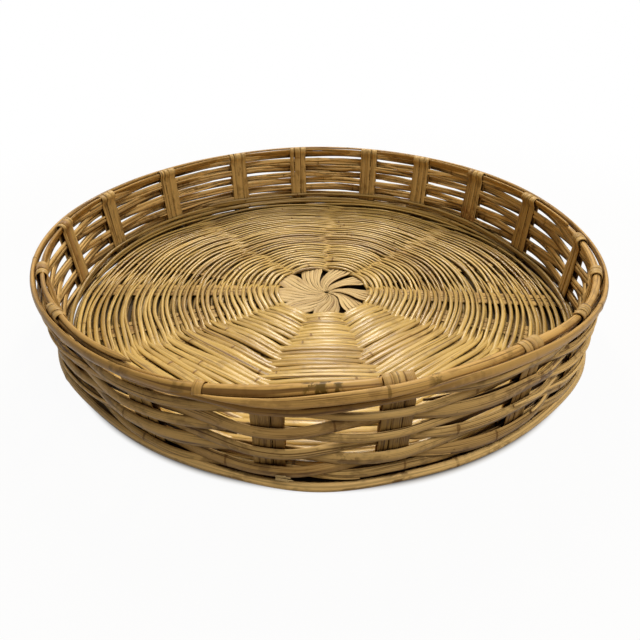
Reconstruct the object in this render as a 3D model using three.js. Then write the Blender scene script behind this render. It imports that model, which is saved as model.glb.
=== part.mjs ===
// Round wicker tray woven by hand from split cane, in millimetres, +Z up.
// The origin is on the table under the middle of the tray. +Y points away
// from someone who looks at the tray, and +X points to their right.
import * as THREE from 'three';

// Overall size
const trayDiameter = 360; // over the outer rim cane
const trayHeight = 60.2; // table to the top of the folded stakes, on average
const wallFlare = 4.5; // how far the wall leans out between foot and rim
const rimWave = 1.2; // the rim rides this much higher at front and back, and lower at the sides
const rimWaveTurn = 8; // degrees that the low sides are turned from the X axis
const seatGap = 0.3; // clearance between pieces that touch

// Stakes: bands of flat splints, spread by hand. Two neighbours work as one spoke in the floor.
const stakeAngles = [
  18.6, 38.2, 56.4, 73.4, 96, 115.2, 138.7, 160.6, 179.4,
  201.6, 219.3, 241.4, 262.8, 281.6, 305, 321, 338.8, 355.1,
];
const stakeWidth = 15;
const stakeThickness = 1.3;
const stakeBend = 2.2; // radius of the turn from floor to wall
const tailLean = 21.5; // degrees that the folded end slants back to the wall under the rim

// Pinwheel where the stakes meet in the middle
const pinwheelRadius = 30;
const pinwheelTip = 2.5; // radius of the small eye in its middle
const pinwheelTurn = 56; // degrees that the stakes swirl on their way in
const pinwheelPower = 1.5; // how strongly the swirl grows towards the eye

// Floor strands: one thin round cane after another, in a spiral over and under the spokes
const floorLevel = 5.5; // table to the middle of the stakes in the floor
const floorStrandWidth = 2.75;
const floorStrandThickness = 1.5;
const floorStrandSpacing = 0.5; // between neighbouring turns
const firstTurnRadius = 33;
const spokesPerStrand = 28; // how many spokes one length of cane passes, an even number
const spokeClearance = 0.2; // between a spoke's edge and the place where a strand starts to cross
const valleyWidth = 5.2; // between neighbouring spokes near the centre, where the strands cross
const valleyNarrowing = 3; // how late the valleys open inside the first turn, as a power

// Wall rows, rim and foot
const rowHeight = 5;
const rowThickness = 2.1;
const rowSpacing = 0.4;
const rowTurnMargin = 0.6; // a row runs straight this far past each edge of a stake
const innerRimDiameter = 6.4;
const outerRimHeight = 5.9;
const outerRimThickness = 3;
const footHeight = 6.2;
const footThickness = 3.2;
const footFlat = 2.4; // width of the flat that rests on the table
const cornerStrandHeight = 4;
const cornerStrandWidth = 2.6;

// Steps and numbers of faces
const swirlSteps = [0, 0.2, 0.45, 0.7, 1]; // shares of the way from the eye to the pinwheel's edge
const foldSteps = 6;
const bendSteps = 3;
const innerRimSides = 8;
const outerRimSides = 5;

const radians = THREE.MathUtils.degToRad;
const stakeCount = stakeAngles.length;
const spokeCount = stakeCount / 2;

// Radii and heights that follow from the sizes above
const halfStake = stakeThickness / 2;
const stakeRimRadius = trayDiameter / 2 - outerRimThickness - seatGap - halfStake;
const stakeFootRadius = stakeRimRadius - wallFlare;
const innerRimRadius = stakeRimRadius - halfStake - seatGap - innerRimDiameter / 2;
const foldRadius = innerRimDiameter / 2 + seatGap + halfStake;
const innerRimLevel = trayHeight - halfStake - foldRadius;
const rowOffset = halfStake + seatGap + rowThickness / 2;
const tailOffset = rowOffset + rowThickness / 2 + seatGap + halfStake;
const strandLift = halfStake + seatGap + floorStrandThickness / 2;
const bendTop = floorLevel + stakeBend;
const rowsBottom = bendTop + seatGap;
const rowsTop = innerRimLevel - innerRimDiameter / 2 - seatGap;
const outerRimLevel = trayHeight - stakeThickness - seatGap - outerRimHeight / 2;
const tailBottom = floorLevel + stakeThickness / 2 + seatGap;
const cornerLevel = floorLevel + strandLift + floorStrandThickness / 2 + seatGap + cornerStrandHeight / 2;
const cornerRadius = stakeFootRadius - tailOffset - halfStake - seatGap - cornerStrandWidth / 2;
const lastTurnRadius = stakeFootRadius - tailOffset - halfStake - seatGap - floorStrandWidth / 2;
const waveStart = cornerLevel + cornerStrandHeight / 2;

// The middle of a standing stake at a height: it leans out evenly from the bend to the rim.
function stakeRadius(height) {
  const share = (height - bendTop) / (innerRimLevel - bendTop);
  return stakeFootRadius + wallFlare * share;
}

// A point of the tray. Above the floor the rim's wave lifts it in proportion to its height.
function place(angle, radius, height) {
  const share = Math.max(0, (height - waveStart) / (trayHeight - waveStart));
  const wave = -rimWave * Math.cos(2 * radians(angle - rimWaveTurn));
  const turn = radians(angle);
  return new THREE.Vector3(radius * Math.cos(turn), radius * Math.sin(turn), height + wave * share);
}

// Six times the volume inside a closed mesh, negative when its faces point in
function signedVolume(points, faces) {
  let sum = 0;
  for (let i = 0; i < faces.length; i += 3) {
    const [a, b, c] = [points[faces[i]], points[faces[i + 1]], points[faces[i + 2]]];
    sum += a.dot(b.clone().cross(c));
  }
  return sum;
}

// A closed body lofted through rings of points that have the same count and order.
// With loop set, the last ring joins the first. Otherwise both ends are capped.
function loft(rings, loop) {
  const count = rings[0].length;
  const points = rings.flat();
  const faces = [];
  const spans = loop ? rings.length : rings.length - 1;
  for (let i = 0; i < spans; i += 1) {
    const here = i * count;
    const next = ((i + 1) % rings.length) * count;
    for (let j = 0; j < count; j += 1) {
      const k = (j + 1) % count;
      faces.push(here + j, here + k, next + k, here + j, next + k, next + j);
    }
  }
  if (!loop) {
    const end = (rings.length - 1) * count;
    for (let j = 1; j < count - 1; j += 1) {
      faces.push(0, j + 1, j, end, end + j, end + j + 1);
    }
  }
  if (signedVolume(points, faces) < 0) {
    faces.reverse();
  }
  const geometry = new THREE.BufferGeometry();
  geometry.setAttribute('position', new THREE.Float32BufferAttribute(points.flatMap((p) => p.toArray()), 3));
  geometry.setIndex(faces);
  geometry.computeVertexNormals();
  return geometry;
}

// Angle halfway from one stake to the next one round the tray
function angleAfter(stake) {
  const here = stakeAngles[stake];
  const next = stakeAngles[(stake + 1) % stakeCount] + (stake + 1 === stakeCount ? 360 : 0);
  return (here + next) / 2;
}

// Angles between a stake and the middle of the gaps on its two sides
function gapsBeside(stake) {
  const before = angleAfter((stake + stakeCount - 1) % stakeCount) - (stake === 0 ? 360 : 0);
  return [stakeAngles[stake] - before, angleAfter(stake) - stakeAngles[stake]];
}

// Room that a stake leaves on its two sides: a hair's breadth beside the partner in its spoke,
// and half of the valley on the other side. Inside the first turn the valleys close up.
function sideMargins(stake, radius) {
  const share = Math.min(1, (radius - pinwheelTip) / (firstTurnRadius - pinwheelTip));
  const valley = THREE.MathUtils.lerp(seatGap, valleyWidth, share ** valleyNarrowing) / 2;
  const partner = seatGap / 2;
  return stake % 2 === 0 ? [valley, partner] : [partner, valley];
}

// Half-widths of a stake on its two sides at a radius in the floor, where the splints crowd
// together towards the centre
function stakeHalfWidths(stake, radius) {
  const margins = sideMargins(stake, radius);
  return gapsBeside(stake).map((gap, side) => {
    const room = radius * Math.sin(radians(gap)) - margins[side];
    return Math.min(stakeWidth / 2, room);
  });
}

// Radius at which a stake has its full width
function fullWidthRadius(stake) {
  const margins = sideMargins(stake, firstTurnRadius);
  const radii = gapsBeside(stake).map((gap, side) => (
    (stakeWidth / 2 + margins[side]) / Math.sin(radians(gap))
  ));
  return Math.max(...radii);
}

// Points on an arc in the radius and height plane, both ends included
function arc(centreRadius, centreHeight, radius, from, to, steps) {
  return Array.from({ length: steps + 1 }, (_, i) => {
    const turn = radians(THREE.MathUtils.lerp(from, to, i / steps));
    return [centreRadius + radius * Math.cos(turn), centreHeight + radius * Math.sin(turn)];
  });
}

// The folded end slants from the rim cane to its line down the wall, and ends above the floor
function tailPoints() {
  const lean = radians(tailLean);
  const startRadius = innerRimRadius - foldRadius * Math.cos(lean);
  const startHeight = innerRimLevel - foldRadius * Math.sin(lean);
  const slope = wallFlare / (innerRimLevel - bendTop);
  const reach = (stakeRadius(startHeight) - tailOffset - startRadius)
    / (Math.sin(lean) + slope * Math.cos(lean));
  const kneeHeight = startHeight - reach * Math.cos(lean);
  return [
    [stakeRadius(kneeHeight) - tailOffset, kneeHeight],
    [stakeRadius(tailBottom) - tailOffset, tailBottom],
  ];
}

// The middle line of a stake: out from the pinwheel, up the wall, over the rim cane, down inside
function stakePath(stake) {
  const full = fullWidthRadius(stake);
  const floorRadii = [
    ...swirlSteps.map((step) => THREE.MathUtils.lerp(pinwheelTip, pinwheelRadius, step)),
    (pinwheelRadius + full) / 2,
    full,
  ];
  const floor = floorRadii.map((radius) => [radius, floorLevel]);
  const bend = arc(stakeFootRadius - stakeBend, bendTop, stakeBend, -90, 0, bendSteps);
  const fold = arc(innerRimRadius, innerRimLevel, foldRadius, 0, 180 + tailLean, foldSteps);
  return [...floor, ...bend, ...fold, ...tailPoints()];
}

// Unit vector across a path at one of its points, lengthened so that the band keeps its thickness
function pathNormal(path, i) {
  const direction = (a, b) => new THREE.Vector2(b[0] - a[0], b[1] - a[1]).normalize();
  const before = direction(path[Math.max(0, i - 1)], path[Math.max(1, i)]);
  const after = direction(path[Math.min(i, path.length - 2)], path[Math.min(i + 1, path.length - 1)]);
  const along = before.clone().add(after).normalize();
  const stretch = 1 / along.dot(before);
  return new THREE.Vector2(-along.y, along.x).multiplyScalar(stretch);
}

function stakeGeometry(stake) {
  const path = stakePath(stake);
  const rings = path.map(([radius, height], i) => {
    const inward = Math.max(0, 1 - radius / pinwheelRadius);
    const angle = stakeAngles[stake] + pinwheelTurn * inward ** pinwheelPower;
    const across = new THREE.Vector3(-Math.sin(radians(angle)), Math.cos(radians(angle)), 0);
    const normal = pathNormal(path, i).multiplyScalar(halfStake);
    const upper = place(angle, radius + normal.x, height + normal.y);
    const lower = place(angle, radius - normal.x, height - normal.y);
    const [before, after] = stakeHalfWidths(stake, radius);
    return [
      upper.clone().addScaledVector(across, -before),
      upper.clone().addScaledVector(across, after),
      lower.clone().addScaledVector(across, after),
      lower.clone().addScaledVector(across, -before),
    ];
  });
  return loft(rings, false);
}

// Sections, as points of radius and height round their middle
function flatSection(width, height) {
  const [w, h] = [width / 2, height / 2];
  return [[-w, -h], [w, -h], [w, h], [-w, h]];
}

function roundSection(diameter, sides) {
  return Array.from({ length: sides }, (_, i) => {
    const turn = radians((i + 0.5) * (360 / sides));
    return [Math.cos(turn) * diameter / 2, Math.sin(turn) * diameter / 2];
  });
}

// Split cane, flat towards the wall and rounded on its outside
function splitSection(thickness, height, sides) {
  return arc(0, 0, 1, -90, 90, sides).map(([x, y]) => [
    thickness * (x - 0.5),
    height * y / 2,
  ]);
}

// The foot cane's section: flat towards the wall and flat underneath
function footSection() {
  const [w, h] = [footThickness / 2, footHeight / 2];
  const shoulder = footFlat - w;
  return [[-w, -h], [shoulder, -h], [w, -h / 2], [w, h / 2], [shoulder, h], [-w, h]];
}

// A ring round the tray that runs straight across the face of each stake. offset says how far
// its middle lies outside the standing stake there, and it swings through the wall in between.
function wallRing(section, level, radiusAt, offset) {
  const half = stakeWidth / 2 + rowTurnMargin;
  const rings = [];
  const addRing = (angle, radius, stretch) => {
    rings.push(section.map(([x, y]) => place(angle, (radius + x) * stretch, level + y)));
  };
  stakeAngles.forEach((angle, stake) => {
    const radius = radiusAt + offset(stake);
    const halfAngle = THREE.MathUtils.radToDeg(Math.atan(half / radius));
    const stretch = 1 / Math.cos(radians(halfAngle));
    addRing(angle - halfAngle, radius, stretch);
    addRing(angle + halfAngle, radius, stretch);
    const middle = (offset(stake) + offset((stake + 1) % stakeCount)) / 2;
    addRing(angleAfter(stake), radiusAt + middle, 1);
  });
  return loft(rings, true);
}

// Where a floor strand crosses into and out of a spoke. turns counts whole rounds of the spiral.
function spokeCrossing(spoke, pitch) {
  const pair = spoke % spokeCount;
  const round = Math.floor(spoke / spokeCount);
  const side = spoke % 2 === 0 ? -1 : 1;
  const level = floorLevel + side * strandLift;
  const section = flatSection(floorStrandWidth, floorStrandThickness);
  return [2 * pair, 2 * pair + 1].map((stake, second) => {
    const nominal = firstTurnRadius + pitch * (round + stakeAngles[stake] / 360);
    const reach = stakeHalfWidths(stake, nominal)[second] + spokeClearance;
    const swing = THREE.MathUtils.radToDeg(Math.asin(reach / nominal));
    const angle = stakeAngles[stake] + (second ? swing : -swing);
    const radius = firstTurnRadius + pitch * (round + angle / 360);
    return section.map(([x, y]) => place(angle, radius + x, level + y));
  });
}

// A share of the way from one ring of points to another
function between(from, to, share) {
  return from.map((point, i) => point.clone().lerp(to[i], share));
}

// One length of floor strand. Both of its ends are cut under the middle of a spoke.
function floorStrandGeometry(strand, pitch) {
  const first = strand * spokesPerStrand;
  const rings = [];
  for (let i = 0; i <= spokesPerStrand; i += 1) {
    const [entry, exit] = spokeCrossing(first + i, pitch);
    const cut = seatGap / entry[0].distanceTo(exit[0]);
    if (i === 0) {
      rings.push(between(entry, exit, 0.5 + cut), exit);
    } else if (i === spokesPerStrand) {
      rings.push(entry, between(entry, exit, 0.5 - cut));
    } else {
      rings.push(entry, exit);
    }
  }
  return loft(rings, false);
}

const tray = new THREE.Group();

function add(name, geometry, colour) {
  const material = new THREE.MeshStandardMaterial({ color: colour, roughness: 0.55, metalness: 0 });
  const mesh = new THREE.Mesh(geometry, material);
  mesh.name = name;
  tray.add(mesh);
}

const numbered = (name, i) => `${name}_${String(i + 1).padStart(2, '0')}`;

// Stakes
for (let stake = 0; stake < stakeCount; stake += 1) {
  add(numbered('stake', stake), stakeGeometry(stake), '#b08a4c');
}

// Floor strands, as many lengths as fill the floor
const strandRise = (floorStrandWidth + floorStrandSpacing) * (spokesPerStrand / spokeCount);
const strandCount = Math.floor((lastTurnRadius - firstTurnRadius) / strandRise);
const turnCount = strandCount * (spokesPerStrand / spokeCount) + 1;
const turnPitch = (lastTurnRadius - firstTurnRadius) / turnCount;
for (let strand = 0; strand < strandCount; strand += 1) {
  add(numbered('floor_strand', strand), floorStrandGeometry(strand, turnPitch), '#cfae6c');
}

// Wall rows, which pass outside one stake and inside the next
const rowCount = Math.floor((rowsTop - rowsBottom) / (rowHeight + rowSpacing));
const rowPitch = (rowsTop - rowsBottom) / rowCount;
for (let row = 0; row < rowCount; row += 1) {
  const level = rowsBottom + rowPitch * (row + 0.5);
  const offset = (stake) => ((row + stake) % 2 === 0 ? -rowOffset : rowOffset);
  const section = flatSection(rowThickness, rowHeight);
  add(numbered('wall_row', row), wallRing(section, level, stakeRadius(level), offset), '#a5854f');
}

// Corner strand, which hides the ends of the folded stakes
const plain = () => 0;
const cornerSection = flatSection(cornerStrandWidth, cornerStrandHeight);
add('corner_strand', wallRing(cornerSection, cornerLevel, cornerRadius, plain), '#b99555');

// Rim canes and foot cane
const innerSection = roundSection(innerRimDiameter, innerRimSides);
add('inner_rim_cane', wallRing(innerSection, innerRimLevel, innerRimRadius, plain), '#bd924c');
const outerSection = splitSection(outerRimThickness, outerRimHeight, outerRimSides);
const outerRimRadius = trayDiameter / 2 - outerRimThickness / 2;
add('outer_rim_cane', wallRing(outerSection, outerRimLevel, outerRimRadius, plain), '#b08a4a');
const footRadius = stakeFootRadius + halfStake + seatGap + footThickness / 2;
add('foot_cane', wallRing(footSection(), footHeight / 2, footRadius, plain), '#a5854f');

export default tray;
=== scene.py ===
"""Round wicker tray: detailed canes and splints over the CAD solids, lit as in a plain studio."""
import bpy
import math
import numpy as np
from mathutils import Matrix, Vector


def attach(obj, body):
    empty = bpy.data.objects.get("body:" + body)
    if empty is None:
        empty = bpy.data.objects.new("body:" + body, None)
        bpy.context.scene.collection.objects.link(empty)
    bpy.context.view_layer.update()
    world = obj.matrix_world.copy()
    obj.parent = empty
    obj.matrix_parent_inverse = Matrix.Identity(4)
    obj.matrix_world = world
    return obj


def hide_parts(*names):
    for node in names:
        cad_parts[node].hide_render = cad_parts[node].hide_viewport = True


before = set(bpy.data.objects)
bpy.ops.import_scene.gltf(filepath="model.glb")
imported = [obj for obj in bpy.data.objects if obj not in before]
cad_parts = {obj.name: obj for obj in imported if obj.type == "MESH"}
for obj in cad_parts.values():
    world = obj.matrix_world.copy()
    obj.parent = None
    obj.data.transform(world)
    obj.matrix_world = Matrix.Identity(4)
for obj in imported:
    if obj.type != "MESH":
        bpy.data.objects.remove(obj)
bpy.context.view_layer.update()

# Sizes in millimetres, as in the part's source
stake_angles = np.array([
    18.6, 38.2, 56.4, 73.4, 96, 115.2, 138.7, 160.6, 179.4,
    201.6, 219.3, 241.4, 262.8, 281.6, 305, 321, 338.8, 355.1,
])
stake_count = len(stake_angles)
spoke_count = stake_count // 2
tray_height = 60.2
rim_wave = 1.2
rim_wave_turn = 8
wave_start = 12.25
floor_level = 5.5
stake_foot_radius = 171.55
stake_rim_radius = 176.05
stake_bend = 2.2
bend_top = floor_level + stake_bend
full_fold = 4.15
inner_rim_level = 55.4
tail_lean = 21.5
row_offset = 2.0
tail_offset = 4.0
foot_radius = 174.1
rows_bottom = 8.0
rows_top = 52.5
first_turn_radius = 33.0
last_turn_radius = 168.3

# The pinwheel is off the middle, by this much along x, and the turns round it less and less
ring_shift = 4.5
ring_shift_reach = 70

# Lines in the floor where the strands change from above a spoke to below the next
valleys = np.array([3, 43.5, 85, 131, 172, 213, 254, 289, 328.0])
floor_turns = 71
canes_in_floor = 13

# Distance between the rings on a cane where its leaves grew, in metres
floor_nodes = 0.31
petal_nodes = 0.9
stake_nodes = 0.5
wall_nodes = 0.24
rim_nodes = 0.36

# How this tray departs from a true circle. The first value of each row is on the +X side, and the
# others follow evenly, counter-clockwise.
rim_rise = np.array([-2.2, 0.7, 1.5, 1.4, -0.15, -0.7, 1.0, 0.45, -0.6, 1.65, 1.2, -0.9])
rim_push = np.array([2.4, 0.9, 0.0, 0.0, 0.0, 0.0, 0.4, 0.2, 0.0, -1.0, -0.8, 2.8])
foot_push = np.array([
    5.0, 4.0, 1.5, 0.0, 0.0, 0.0, 0.0, 0.0, 0.0, 0.0, 0.0, 0.0,
    0.4, 0.8, 0.8, -2.8, -2.4, -1.6, 2.1, 0.2, 1.2, 3.2, 7.2, 6.6,
])

# The departure starts at this radius in the floor, and grows to the full over this distance
push_start = 115
push_reach = 60

# Radius of a fold over the rim cane, which is thick only in front: angle and radius
fold_sizes = np.array([
    (0, 3.0), (20, 2.9), (90, 2.8), (160, 2.8), (180, 2.6), (201.6, 2.9), (219.3, 2.6), (233, 3.1),
    (248, 4.15), (303, 4.15), (311, 3.3), (321, 2.7), (338.8, 2.9), (355.1, 3.0),
])

# Canes of the rim: angle, radius and height of each one's middle, and its half height and half
# thickness. The long one starts low in front, goes round once outside the wall and ends inside.
long_cane = np.array([
    (236, 178.0, 52.6, 0.6, 0.5), (244, 177.6, 52.0, 1.7, 1.3), (254, 177.6, 51.9, 2.0, 1.4),
    (257.5, 177.6, 50.2, 2.2, 1.4), (261, 177.6, 48.5, 2.4, 1.4), (268, 177.6, 48.3, 2.4, 1.4),
    (274.4, 177.6, 50.8, 2.0, 1.3), (279.2, 177.7, 52.3, 1.8, 1.3), (284, 178.2, 53.8, 2.0, 1.4),
    (288, 178.7, 55.6, 2.5, 1.5), (293, 178.4, 55.9, 2.85, 1.5), (301, 178.25, 56.2, 2.85, 1.5),
    (312, 178.25, 55.65, 2.85, 1.5), (332, 178.25, 55.65, 2.5, 1.5), (350, 178.25, 56.0, 2.2, 1.4),
    (365, 178.1, 56.6, 2.1, 1.4), (380, 177.95, 57.1, 2.1, 1.4), (410, 177.95, 57.6, 1.6, 1.4),
    (435, 177.95, 58.3, 0.9, 1.4), (480, 177.95, 58.3, 0.9, 1.5), (500, 177.95, 57.6, 1.6, 1.5),
    (520, 177.95, 57.1, 2.1, 1.5), (535, 178.1, 56.6, 2.2, 1.5),
    (555, 178.25, 55.65, 2.85, 1.5), (604, 178.3, 55.4, 2.9, 1.6), (609, 177.4, 54.2, 3.1, 2.2),
    (613, 175.2, 53.1, 3.3, 2.9), (617, 173.6, 53.3, 3.35, 3.35), (621, 173.2, 53.8, 3.35, 3.35),
    (624, 173.2, 54.6, 3.35, 3.3), (628, 173.2, 55.9, 3.3, 3.3), (632, 173.2, 56.6, 3.2, 3.2),
    (639.3, 173.2, 56.8, 3.1, 3.1),
])
short_cane = np.array([
    (253, 178.7, 53.4, 0.3, 0.5), (257, 178.9, 53.0, 1.2, 1.0), (261, 178.9, 53.0, 2.0, 1.4),
    (264, 178.9, 53.0, 2.4, 1.5), (268, 178.9, 54.2, 2.8, 1.6), (274.3, 179.0, 56.2, 3.0, 1.8),
    (278.4, 178.9, 56.9, 2.9, 1.9), (281.1, 178.5, 57.3, 2.8, 1.9), (284.1, 177.2, 57.3, 2.8, 2.3),
    (289, 175.1, 57.1, 2.9, 2.7), (294.4, 173.6, 56.4, 3.0, 3.0), (298.3, 172.8, 56.0, 3.1, 3.1),
    (302.6, 172.2, 55.8, 3.2, 3.2), (306, 172.1, 55.7, 3.1, 3.1), (312, 172.6, 56.0, 2.4, 2.4),
    (321, 173.3, 56.6, 1.9, 1.9), (339, 173.1, 56.3, 2.1, 2.1), (355, 173.1, 56.3, 2.0, 2.0),
    (368, 173.2, 56.5, 0.9, 0.9),
])


rad = np.radians


def smooth(x):
    """0 below 0, 1 above 1, and a soft step between."""
    x = np.clip(x, 0, 1)
    return x * x * (3 - 2 * x)


def degrees_from(angle, middle):
    """Degrees from a middle to each angle, the shorter way round."""
    return np.abs((angle - middle + 180) % 360 - 180)


def close_to(angle, middle, span):
    """1 at the middle, and down to 0 at span degrees from it."""
    return 1 - smooth(degrees_from(angle, middle) / span)


def fold_radius(angle):
    return np.interp(angle, fold_sizes[:, 0], fold_sizes[:, 1], period=360)


def around(values, angle):
    """A smooth curve through values that stand evenly round the tray."""
    count = len(values)
    at = np.asarray(angle) / 360 * count
    low = np.floor(at).astype(int)
    t = at - low
    a, b, c, d = (values[(low + k) % count] for k in (-1, 0, 1, 2))
    return b + 0.5 * t * (c - a + t * (2 * a - 5 * b + 4 * c - d + t * (3 * (b - c) + d - a)))


def stake_radius(height):
    share = (height - bend_top) / (inner_rim_level - bend_top)
    return stake_foot_radius + (stake_rim_radius - stake_foot_radius) * share


def wave(angle, height):
    """How far the rim's wave lifts a point."""
    share = np.clip((height - wave_start) / (tray_height - wave_start), 0, None)
    return (around(rim_rise, angle) - rim_wave * np.cos(2 * rad(angle - rim_wave_turn))) * share


def place(angle, radius, height):
    """Points of the tray, as rows of x, y and z."""
    turn = rad(angle)
    lifted = height + wave(angle, height)
    up = np.clip(height / tray_height, 0, 1)
    push = around(foot_push, angle) * (1 - up) + around(rim_push, angle) * up
    pushed = radius + push * smooth((radius - push_start) / push_reach)
    return np.stack([pushed * np.cos(turn), pushed * np.sin(turn), lifted * np.ones_like(turn)], -1)


def between(knots, at):
    """A smooth curve through a ring of knots, at places that are counted in knots."""
    low = np.floor(at).astype(int)
    part = smooth(at - low)
    return knots[low % len(knots)] * (1 - part) + knots[(low + 1) % len(knots)] * part


def wander(x, key, step):
    """Smooth random values from -1 to 1 along x, with one draw every step."""
    at = (x - np.min(x)) / step
    return between(np.random.default_rng(key).uniform(-1, 1, int(at.max()) + 2), at)


def wander_round(angle, key, count):
    """Smooth random values from -1 to 1 round the tray, with count draws a turn."""
    return between(np.random.default_rng(key).uniform(-1, 1, count), angle / 360 * count % count)


# Sections, as points across and through a strand, each about -1 to 1, counter-clockwise
def oval(sides, power=1.0):
    turn = np.arange(sides) / sides * 2 * np.pi
    c, s = np.cos(turn), np.sin(turn)
    return np.stack([np.sign(c) * np.abs(c) ** power, np.sign(s) * np.abs(s) ** power], -1)


def rounded_top():
    turn = rad(np.linspace(8, 172, 9))
    return np.stack([np.cos(turn), -0.72 + 1.72 * np.sin(turn)], -1)


def half_round():
    """Flat below and rounded above, with softened edges."""
    return np.array([(-0.9, -1.0), (0.9, -1.0), *rounded_top()])


# The pith side of a split cane breaks into two or three ridges
pith_ridges = [
    [(-0.95, -0.7), (-0.7, -1.2), (-0.35, -1.2), (-0.1, -0.3), (0.15, -1.15), (0.6, -1.25)],
    [(-0.95, -0.8), (-0.62, -1.2), (-0.42, -0.4), (-0.1, -1.25), (0.2, -1.1), (0.38, -0.35), (0.62, -1.2)],
    [(-0.95, -0.9), (-0.4, -1.2), (0.1, -1.25), (0.3, -0.3), (0.55, -1.15), (0.8, -1.1)],
]


def split_cane(kind):
    """Rounded above like half_round, with ridges of split pith on its flat side."""
    return np.array([*pith_ridges[kind % len(pith_ridges)], (0.95, -0.8), *rounded_top()])


def splint():
    """Flat, with its upper edges rounded."""
    return np.array([
        (-0.93, -0.9), (0.93, -0.9), (1, -0.5), (0.99, 0.45),
        (0.88, 0.8), (0.45, 0.95), (-0.45, 0.95), (-0.88, 0.8), (-0.99, 0.45), (-1, -0.5),
    ])


to_metres = 0.001

# A cane swells at its rings: within how many metres, and by which shares of its width and thickness
swell_reach = 0.0022
swell_width = 0.05
swell_thick = 0.18

# How far a strand's tone moves its rings, in gaps between them, and its grain, in metres
ring_scatter = 17.3
grain_scatter = 3.17


class Bundle:
    """Strands that are gathered into the mesh of one piece."""

    def __init__(self):
        self.points = []
        self.faces = []
        self.layers = {"along": [], "own": [], "mark": []}
        self.count = 0

    def strand(
        self, path, side, half_width, half_thick, section, tone, nodes,
        closed=False, mark=0.0, age=0.0, node_at=None,
    ):
        """A body along a path. side says which way its width lies at each point, nodes how far
        apart its rings are, node_at which point of the path has one, mark how stained it is and
        age how dark it is, with use and, in places, as painted shade."""
        path = np.asarray(path, float)
        n, k = len(path), len(section)
        mark = np.append(np.broadcast_to(mark, n), 0.0)
        age = np.append(np.broadcast_to(age, n), 0.0)
        steps = np.linalg.norm(np.diff(path, axis=0), axis=1)
        length = np.append(0, np.cumsum(steps)) * to_metres
        if node_at is None:
            shift = tone * ring_scatter * nodes
        else:
            shift = 0.5 * nodes - length[node_at]
        from_node = np.abs((length + shift) / nodes % 1 - 0.5) * nodes
        swell = np.exp(-(from_node / swell_reach) ** 2)
        half_width = np.broadcast_to(half_width, n) * (1 + swell_width * swell)
        half_thick = np.broadcast_to(half_thick, n) * (1 + swell_thick * swell)

        # A copy of the section at each point of the path
        if closed:
            tangent = np.roll(path, -1, 0) - np.roll(path, 1, 0)
        else:
            tangent = np.gradient(path, axis=0)
        tangent /= np.linalg.norm(tangent, axis=1, keepdims=True)
        normal = np.cross(tangent, side)
        normal /= np.linalg.norm(normal, axis=1, keepdims=True)
        side = np.cross(normal, tangent)
        rings = (
            path[:, None, :]
            + section[None, :, :1] * half_width[:, None, None] * side[:, None, :]
            + section[None, :, 1:] * half_thick[:, None, None] * normal[:, None, :]
        )

        # Faces between the copies, and what the material reads at their corners
        spans = n if closed else n - 1
        if closed:
            length = np.append(length, length[-1] + np.linalg.norm(path[0] - path[-1]) * to_metres)
            mark[-1], age[-1] = mark[0], age[0]
        length = length + shift
        middle_ring = rings[n // 2]
        girth = np.linalg.norm(np.diff(middle_ring, axis=0, append=middle_ring[:1]), axis=1)
        girth = np.append(0, np.cumsum(girth)) * to_metres + tone * grain_scatter
        i, j = (grid.ravel() for grid in np.meshgrid(np.arange(spans), np.arange(k), indexing="ij"))
        along = np.stack([i, i, i + 1, i + 1], -1)
        across = np.stack([j, j + 1, j + 1, j], -1)
        quads = along % n * k + across % k + self.count
        self.points.append(rings.reshape(-1, 3))
        self.faces.extend(quads.tolist())
        for layer, first, second in (
            ("along", length[along], girth[across]),
            ("own", np.full(along.shape, tone), across / k),
            ("mark", mark[along], age[along]),
        ):
            self.layers[layer].append(np.stack([first, second], -1).reshape(-1, 2))

        # An open strand has a face at each end
        if not closed:
            first = [self.count + m for m in range(k - 1, -1, -1)]
            last = [self.count + (n - 1) * k + m for m in range(k)]
            self.faces.extend([first, last])
            for at in (length[0], length[n - 1]):
                ends = {"along": [at, tone * grain_scatter], "own": [tone, 0.25], "mark": [0.0, 0.0]}
                for layer, pair in ends.items():
                    self.layers[layer].append(np.tile(pair, (k, 1)))
        self.count += n * k

    def on_edge(self, angle, radius, height, half_height, *given, face=1.0, **values):
        """A strand round the tray that stands on edge. The upper side of its section faces
        outwards, or inwards where face is -1."""
        upright = np.tile([0.0, 0.0, face], (len(angle), 1))
        self.strand(place(angle, radius, height), upright, half_height, *given, **values)

    def piece(self, name, material, slot, replaces):
        mesh = bpy.data.meshes.new(name)
        points = np.concatenate(self.points) * to_metres
        mesh.from_pydata(points.tolist(), [], self.faces)
        for layer_name, values in self.layers.items():
            layer = mesh.uv_layers.new(name=layer_name)
            layer.data.foreach_set("uv", np.concatenate(values).ravel())
        mesh.materials.append(material)
        mesh.shade_smooth()
        piece = bpy.data.objects.new(name, mesh)
        bpy.context.scene.collection.objects.link(piece)
        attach(piece, "root")
        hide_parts(*replaces)


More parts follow.
